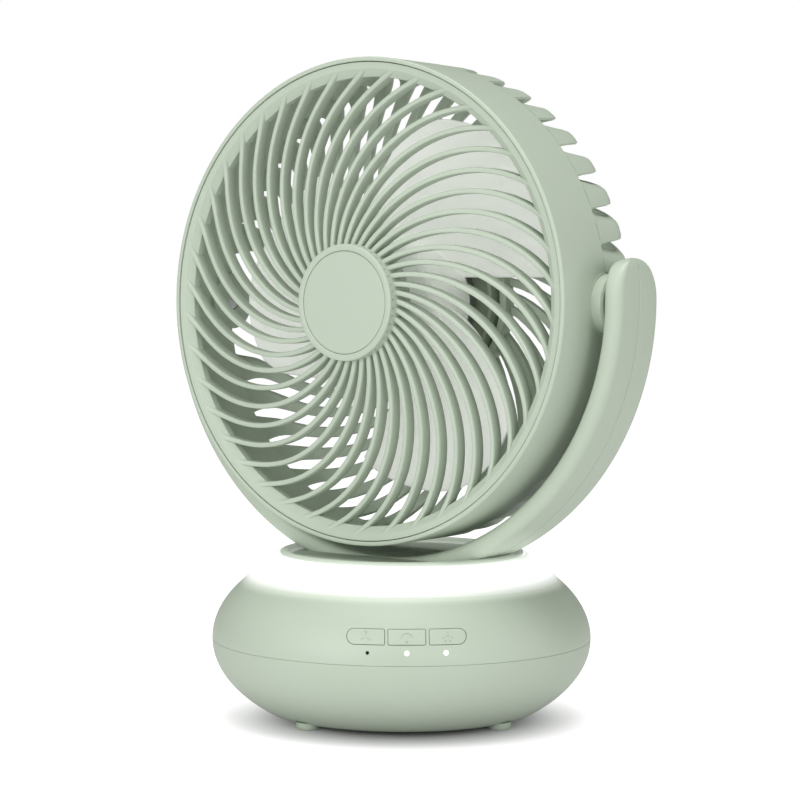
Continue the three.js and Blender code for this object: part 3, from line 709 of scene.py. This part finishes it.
for name, where in SIDES.items():
    boss = lathe(rounded([
        (PIN_BORE, 104.4), (12.4, 104.4), (12.4, 109.6, 1.0), (11.2, 110.5, 0.8), (PIN_BORE, 110.5)]), 72)
    piece(f"boss_{name}", boss, where, "head", SAGE, [f"pivot_boss_{name}"])
    washer = lathe(rounded([(PIN_BORE, 110.9), (9, 110.9, 0.2), (9, 112.4, 0.2), (PIN_BORE, 112.4)]), 48)
    piece(f"washer_{name}", washer, where, "yoke", DARK, [f"friction_washer_{name}"])
    pin = lathe(rounded([(0, 99), (4, 99, 0.6), (4, 118.6, 0.4), (0, 118.6)], closed=False), 40)
    piece(f"pin_{name}", pin, where, "yoke", STEEL, [f"pivot_pin_{name}"])

# ---- Head housing and grilles ----

housing_profile = rounded([
    (HOUSING_INNER, 0), (HOUSING, 0), (HOUSING, 32.6, 3), (103.4, 32.7, 0.5), (103.4, 25.6),
    (HOUSING_INNER, 25.6)])
piece("housing", lathe(housing_profile, 256), HEAD, "head", SAGE, ["fan_housing"],
      join=[(cylinder(PAD, 98.6, 105.25), where) for where in SIDES.values()],
      cut=[(cylinder(PIN_BORE, 95, 110, 32), where) for where in SIDES.values()])


def bar(stations):
    """Bar whose stations are loops of (radius, angle, depth) points."""
    loops = [[(r * cos(a), r * sin(a), d) for r, a, d in loop] for loop in stations]
    return loft(loops)


# Depth of the front bars' crest at a radius.
CREST = [(24, 38.6), (28, 38.3), (40, 37.05), (52, 35.5), (64, 33.7), (76, 31.95), (88, 30.4), (94, 30),
         (97, 30.5), (100.4, 31.75)]


# Half of a front bar's section from its back to its crest: share of the half width, and drop from the crest.
BAR_SIDE = [(0.85, 5.8), (1, 4.6), (1, 0.95), (0.93, 0.5), (0.74, 0.17), (0.4, 0.03)]
BAR_SECTION = [(-across, drop) for across, drop in BAR_SIDE] + [(0, 0)] + BAR_SIDE[::-1]
BAR_START, BAR_END, BAR_HALF, BAR_STEPS = 24.3, 100.4, 1.15, 40


def front_bar():
    """Slim bar of even width with a rounded crest, from the hub to the outer ring."""
    stations = []
    for k in range(BAR_STEPS + 1):
        r = BAR_START + (BAR_END - BAR_START) * (k / BAR_STEPS) ** 0.9
        half = BAR_HALF / cos(atan(r * front_slope(r)))
        top = value_at(CREST, r)
        stations.append([(r, across * half / r - front_sweep(r), top - drop) for across, drop in BAR_SECTION])
    return bar(stations)


def round_of(shell, phase):
    """The same bar repeated round the fan's axis."""
    return merged(*[moved(shell, turn=phase + 360 * i / BARS) for i in range(BARS)])


front_ring = lathe(rounded([
    (96.9, 25.9), (103.1, 25.9), (103.1, 32.1, 0.4), (100.2, 31.75, 0.5), (96.9, 29.2, 0.3)]), 252)
hub_ring = lathe(rounded([
    (0, 36.6), (23.4, 36.6), (23.4, 28), (HUB, 28, 0.3), (HUB, 42.7, 0.9), (22.3, 42.7, 0.5),
    (22.1, 41.9), (22.1, 41.2), (0, 41.2)], closed=False), 168)
DIMPLES, DIMPLE_DEPTH = 46, 40.6
dimple = along_x(lathe([
    (0, HUB - 0.6), (0.35, HUB - 0.55), (0.62, HUB - 0.2), (0.7, HUB + 0.5), (0, HUB + 0.5)], 12))
dimples = merged(*[moved(dimple, z=DIMPLE_DEPTH, turn=-5 + 360 * k / DIMPLES) for k in range(DIMPLES)])

piece("front_guard", merged(front_ring, round_of(front_bar(), FRONT_PHASE)), HEAD, "head", SAGE,
      ["front_grille"])
piece("guard_hub", hub_ring, HEAD, "head", SAGE, cut=[(dimples, HEAD)])
piece("hub_cap", lathe(rounded([
    (0, 41.3), (22.0, 41.3), (22.0, 42.3, 0.15), (21.6, 42.5, 0.4), (0, 42.55)], closed=False), 144),
      HEAD, "head", SAGE, ["front_hub_cap"])

CURL = 7.5  # squareness of the rear guard's shoulder
GUARD_DEPTH, GUARD_INNER, GUARD_INNER_DEPTH = 28, 101.6, 24.4
# Width of a rear rib by how far along it from the housing.
RIB_WIDTHS = [(0, 15.2), (3, 13.6), (8, 11.6), (14, 10), (20, 9), (26, 8.2), (34, 7.1), (45, 6.2), (70, 4.6),
              (90, 3.7)]
# Half of a rib's section: share of the half width, and share of the way from its outer to its inner face.
RIB_SIDE = [(0.8, 1), (1, 0.72), (0.94, 0.32), (0.72, 0.07), (0.4, 0)]
RIB_SECTION = [(-across, inward) for across, inward in RIB_SIDE] + RIB_SIDE[::-1]
# Steps along the rear guard's curve, as its parameter in radians, from the housing's edge in to the hub.
RIB_TURNS = [10 ** (-7 + 0.5 * k) for k in range(10)] + [
    0.006, 0.014, 0.03, 0.055, 0.09, 0.14, 0.2, 0.27, 0.35, 0.44, 0.54, 0.66, 0.8, 0.94, 1.06, 1.16,
    1.25, 1.32, 1.38, 1.43, 1.47, 1.5, 1.522, 1.54]


def guard_point(radius, depth, phi):
    """Point of the rear guard's curve, as a radius and a depth."""
    return radius * cos(phi) ** (2 / CURL), -depth * sin(phi) ** (2 / CURL)


def rear_bar():
    """Rib that runs back along the head's side, over the shoulder and in to the hub."""
    stations, before, travel = [], guard_point(HOUSING, GUARD_DEPTH, 0), 0
    for phi in RIB_TURNS:
        outer_r, outer_d = guard_point(HOUSING, GUARD_DEPTH, phi)
        inner_r, inner_d = guard_point(GUARD_INNER, GUARD_INNER_DEPTH, phi)
        travel += sqrt((outer_r - before[0]) ** 2 + (outer_d - before[1]) ** 2)
        before = (outer_r, outer_d)
        half = value_at(RIB_WIDTHS, travel) / 2
        loop = []
        for across, inward in RIB_SECTION:
            r = outer_r + (inner_r - outer_r) * inward
            d = outer_d + (inner_d - outer_d) * inward
            loop.append((r, across * half / r - rear_sweep(r), d))
        stations.append(loop)
    return bar(stations)


rear_ring = lathe(rounded([(100, -3), (104.8, -3, 0.6), (HOUSING, -1.6), (HOUSING, 0), (100, 0)]), 252)
REAR_FACE = -28.3
rear_hub = lathe(rounded([
    (0, REAR_FACE), (41.4, REAR_FACE, 2.6), (41.4, -20, 0.5), (38, -20, 0.4), (38, -25.1), (0, -25.1)],
    closed=False), 144)
pad_room = [(cylinder(PAD + 0.4, 92, 108), where) for where in SIDES.values()]
REAR_SCREW_CIRCLE = 28
rear_screws = [(REAR_SCREW_CIRCLE * cos(radians(a)), REAR_SCREW_CIRCLE * sin(radians(a)))
               for a in (90, 210, 330)]
screw_holes = merged(*[moved(cylinder(3.2, -32, -27.1, 36), x, y) for x, y in rear_screws])
piece("rear_guard", merged(rear_ring, round_of(rear_bar(), REAR_PHASE)), HEAD, "head", SAGE,
      ["rear_grille"], cut=pad_room)
piece("rear_hub", rear_hub, HEAD, "head", SAGE, cut=[(screw_holes, HEAD)])
for i, (x, y) in enumerate(rear_screws, 1):
    piece(f"screw_rear_{i}", moved(screw(2.8, 1.3, 1, 4.2), x, y, REAR_FACE), HEAD, "head", STEEL,
          [f"rear_screw_{i}"], cut=[(moved(cross(1.5, 0.8), x, y, REAR_FACE), HEAD)])

# ---- Motor and impeller ----

piece("motor_case", lathe(rounded([
    (0, -24.6), (37, -24.6, 1.2), (37, -15.6, 1.2), (35.2, -15.6, 0.4), (35.2, -22.6), (9.6, -22.6),
    (9.6, -9.2), (8, -9.2), (8, -22.6), (0, -22.6)], closed=False), 96),
      HEAD, "head", DEEP_SAGE, ["motor_cup"])
piece("bell", lathe(rounded([
    (3.3, -8.8), (21.3, -8.8), (21.3, -21.6), (23.7, -21.6), (23.7, -6.7, 1), (3.3, -6.7)]), 96),
      HEAD, "rotor", STEEL, ["rotor_bell"])
piece("nut", lathe(rounded([
    (0, 22), (5.6, 21.4, 1), (7.4, 19.4, 1), (7.4, 14.4), (3.3, 14.4), (3.3, 19.4), (0, 19.4)],
    closed=False), 48), HEAD, "rotor", DARK, ["impeller_nut"])

# Angle of a blade's trailing edge by radius, in degrees from +X.
TRAILING = [(24, 122), (37, 113.5), (50, 103), (62, 93), (72, 87), (80, 80), (84, 74), (87, 68)]
# Radius of the blade's outer end by the share of the way from leading to trailing edge.
OUTER_END = [(0, 75.5), (0.03, 77.5), (0.08, 78.6), (0.15, 79.6), (0.28, 81.5), (0.4, 83.3), (0.52, 84.9),
             (0.65, 86.3), (0.75, 87), (0.83, 86.9), (0.9, 85.7), (0.95, 83.8), (1, 80)]
BLADE_ROOT, BLADES = 24.8, 3


def blade():
    """Broad blade bent onto a twisted sheet, with thin rounded edges."""
    chords, spans = 48, 26
    grids = []
    for face in (1, -1):
        grid = []
        for j in range(spans + 1):
            span = sin(pi / 2 * j / spans)
            for i in range(chords + 1):
                chord = (1 - cos(pi * i / chords)) / 2
                radius = BLADE_ROOT + (value_at(OUTER_END, chord) - BLADE_ROOT) * span
                lead = asin(11 / radius)
                angle = lead + (radians(value_at(TRAILING, radius)) - lead) * chord
                rise = 24 + (14 - 24) * span
                cup = 3.5 * span * (1 - (2 * chord - 1) ** 2)
                edge = min(chord, 1 - chord, (1 - span) * 0.8 + 1e-9) * 80
                thick = (2.6 - 1.0 * span) / 2 * sqrt(max(0, 1 - (1 - min(1, edge / 1.6)) ** 2))
                grid.append((radius * cos(angle), radius * sin(angle),
                             rise * (chord - 0.5) - 1.5 - cup * 0.4 + face * thick))
        grids.append(grid)
    wide = chords + 1
    faces = [(j * wide + i, j * wide + i + 1, (j + 1) * wide + i + 1, (j + 1) * wide + i)
             for j in range(spans) for i in range(chords)]
    start = len(grids[0])
    faces += [tuple(start + i for i in face[::-1]) for face in faces]
    faces += [(i, i + 1, start + i + 1, start + i) for i in range(chords)]
    return grids[0] + grids[1], faces


spinner = lathe(rounded([
    (3.3, -6.4), (7, -6.4), (7, 11.8), (24.1, 11.8), (24.1, -14), (26.5, -14, 0.5), (26.5, 14, 3),
    (3.3, 14)]), 120)
piece("fan_blades", merged(spinner, *[moved(blade(), turn=-360 / BLADES * i) for i in range(BLADES)]), HEAD,
      "rotor", GREY_PAINTED_GLOW, ["impeller"], crease=40)

# ---- Finishes of the CAD nodes that stay ----

KEPT = {
    "light_board": WHITE, "control_board": BOARD, "ballast_plate": STEEL, "battery_tray": DARK,
    "battery_left": WRAP, "battery_right": WRAP, "oscillation_motor": STEEL, "drive_pinion": WHITE,
    "turntable_gear": WHITE, "thrust_washer": WHITE, "motor_lead": DARK, "motor_stator": COPPER,
    "bearing_rear": STEEL, "bearing_front": STEEL, "motor_shaft": STEEL,
}
for node, material in KEPT.items():
    kept = frame["nodes"][node]
    kept.data.materials.clear()
    kept.data.materials.append(material)

# ---- Floor and light ----

def studio_floor():
    """Pale floor that glows white, apart from a painted shadow: a soft dark oval under the fan. Sizes are in
    metres.
    """
    material = plastic("studio floor", (0.4, 0.4, 0.4), 0.8, 0.005, 0.0, 50)
    nodes, links = material.node_tree.nodes, material.node_tree.links
    shader = nodes["Principled BSDF"]
    shader.inputs["Specular IOR Level"].default_value = 0
    shader.inputs["Emission Color"].default_value = (1, 1, 1, 1)
    spot = nodes.new("ShaderNodeTexCoord")
    # Painted shadow: the floor's glow fades to none inside this oval round the fan's foot, so the oval reads
    # as a dark shadow under the fan.
    oval = nodes.new("ShaderNodeMapping")
    oval.vector_type = "TEXTURE"
    oval.inputs["Location"].default_value = (0.001, -0.018, 0)
    oval.inputs["Scale"].default_value = (0.062, 0.057, 1)
    links.new(spot.outputs["Object"], oval.inputs["Vector"])
    away = nodes.new("ShaderNodeVectorMath")
    away.operation = "LENGTH"
    links.new(oval.outputs["Vector"], away.inputs[0])
    bright = nodes.new("ShaderNodeMapRange")
    bright.interpolation_type = "SMOOTHSTEP"
    bright.inputs["From Min"].default_value = 0.6
    bright.inputs["From Max"].default_value = 1.55
    bright.inputs["To Max"].default_value = 0.95
    links.new(away.outputs["Value"], bright.inputs["Value"])
    path = nodes.new("ShaderNodeLightPath")
    softer = nodes.new("ShaderNodeMath")  # the floor throws back half the light that it shows
    softer.operation = "MULTIPLY_ADD"
    softer.inputs[1].default_value = 0.5
    softer.inputs[2].default_value = 0.5
    links.new(path.outputs["Is Camera Ray"], softer.inputs[0])
    strength = nodes.new("ShaderNodeMath")
    strength.operation = "MULTIPLY"
    links.new(bright.outputs["Result"], strength.inputs[0])
    links.new(softer.outputs["Value"], strength.inputs[1])
    links.new(strength.outputs["Value"], shader.inputs["Emission Strength"])
    return material


FLOOR_REACH, FLOOR_DROP = 9000, 0.05
corners = [(x * FLOOR_REACH, y * FLOOR_REACH, -FLOOR_DROP) for x, y in ((-1, -1), (1, -1), (1, 1), (-1, 1))]
floor = mesh_object("floor", (corners, [(0, 1, 2, 3)]), BASE)
floor.data.materials.append(studio_floor())

world = bpy.data.worlds.new("studio")
bpy.context.scene.world = world
world.use_nodes = True
sky = world.node_tree


def sky_band(axis, low, high, start, end):
    """Brightness that changes smoothly along one axis of the sky."""
    ramp = sky.nodes.new("ShaderNodeMapRange")
    ramp.interpolation_type = "SMOOTHSTEP"
    ramp.inputs["From Min"].default_value = low
    ramp.inputs["From Max"].default_value = high
    ramp.inputs["To Min"].default_value = start
    ramp.inputs["To Max"].default_value = end
    sky.links.new(split.outputs[axis], ramp.inputs["Value"])
    return ramp.outputs["Result"]


direction = sky.nodes.new("ShaderNodeTexCoord")
split = sky.nodes.new("ShaderNodeSeparateXYZ")
sky.links.new(direction.outputs["Generated"], split.inputs["Vector"])
facing = sky_band("Y", -0.6, 0.5, 0.55, 0)
seen = sky.nodes.new("ShaderNodeLightPath")
total = sky.nodes.new("ShaderNodeMath")  # the backdrop looks white, and lights the fan from the front only
total.operation = "MAXIMUM"
sky.links.new(facing, total.inputs[0])
sky.links.new(seen.outputs["Is Camera Ray"], total.inputs[1])
background = sky.nodes["Background"]
sky.links.new(total.outputs["Value"], background.inputs["Strength"])
background.inputs["Color"].default_value = (1, 1, 1, 1)


def lamp(name, place, size, power):
    """Square soft lamp aimed at the fan's middle, with its place and size in metres."""
    data = bpy.data.lights.new(name, "AREA")
    data.shape = "SQUARE"
    data.size = size
    data.energy = power
    made = bpy.data.objects.new(name, data)
    bpy.context.scene.collection.objects.link(made)
    made.location = place
    made.rotation_euler = (LAMP_AIM - Vector(place)).to_track_quat("-Z", "Y").to_euler()


LAMP_AIM = Vector((0, 0, 0.15))
lamp("key", (-1.2, -1.5, 0.6), 1, 15.2)
lamp("fill", (0.8, -1.5, 0.3), 0.8, 5.5)
lamp("top", (0, -0.1, 1.6), 1, 14.1)
lamp("right", (1.5, -0.3, 0.12), 1, 3.8)
lamp("left", (-1.5, -0.3, 0.12), 1, 1.5)
bpy.context.scene.view_settings.view_transform = "Standard"
